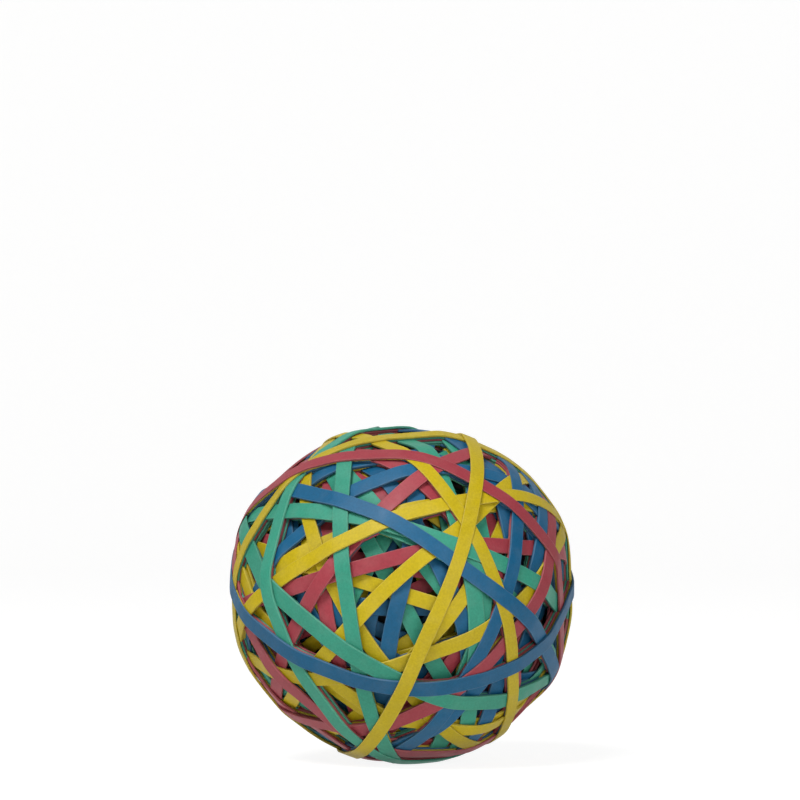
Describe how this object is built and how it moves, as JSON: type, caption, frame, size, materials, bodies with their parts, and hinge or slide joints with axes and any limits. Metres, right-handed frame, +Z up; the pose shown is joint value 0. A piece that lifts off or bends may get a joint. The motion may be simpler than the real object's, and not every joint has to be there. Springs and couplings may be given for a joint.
{
  "type": "rubber band ball",
  "caption": "Ball of coloured flat rubber bands stretched one over another in every direction round a packed core of bands, a store to peel bands from.",
  "frame": {"origin": "middle of the packed core, which is the middle of the ball", "axes": "+Z up as the ball lies in the picture, -Y towards the viewer, +X to the viewer's right"},
  "size_m": [0.0703, 0.0711, 0.0676],
  "materials": {
    "yellow_rubber": "matte cut rubber, lightly dusted",
    "blue_rubber": "matte cut rubber, lightly dusted",
    "green_rubber": "matte cut rubber, lightly dusted",
    "red_rubber": "matte cut rubber, lightly dusted",
    "packed_rubber": "matte cut rubber, lightly dusted"
  },
  "bodies": {
    "root": {"outer_band_01_green": "green_rubber", "outer_band_02_yellow": "yellow_rubber", "outer_band_03_blue": "blue_rubber", "outer_band_04_yellow": "yellow_rubber", "outer_band_05_blue": "blue_rubber", "outer_band_06_red": "red_rubber", "outer_band_07_blue": "blue_rubber", "outer_band_08_yellow": "yellow_rubber", "outer_band_09_red": "red_rubber", "outer_band_10_blue": "blue_rubber", "outer_band_11_green": "green_rubber", "outer_band_12_red": "red_rubber", "outer_band_13_yellow": "yellow_rubber", "outer_band_14_green": "green_rubber", "outer_band_15_blue": "blue_rubber", "outer_band_16_blue": "blue_rubber", "outer_band_17_yellow": "yellow_rubber", "outer_band_18_green": "green_rubber", "outer_band_19_yellow": "yellow_rubber", "outer_band_20_red": "red_rubber", "outer_band_21_red": "red_rubber", "outer_band_22_yellow": "yellow_rubber", "outer_band_23_blue": "blue_rubber", "outer_band_24_yellow": "yellow_rubber", "outer_band_25_green": "green_rubber", "outer_band_26_blue": "blue_rubber", "outer_band_27_red": "red_rubber", "outer_band_28_red": "red_rubber", "outer_band_29_red": "red_rubber", "outer_band_30_green": "green_rubber", "outer_band_31_yellow": "yellow_rubber", "outer_band_32_green": "green_rubber", "outer_band_33_yellow": "yellow_rubber", "outer_band_34_blue": "blue_rubber", "outer_band_35_green": "green_rubber", "outer_band_36_yellow": "yellow_rubber", "outer_band_37_red": "red_rubber", "outer_band_38_blue": "blue_rubber", "outer_band_39_yellow": "yellow_rubber", "wound_core": "packed_rubber"}
  },
  "joints": []
}
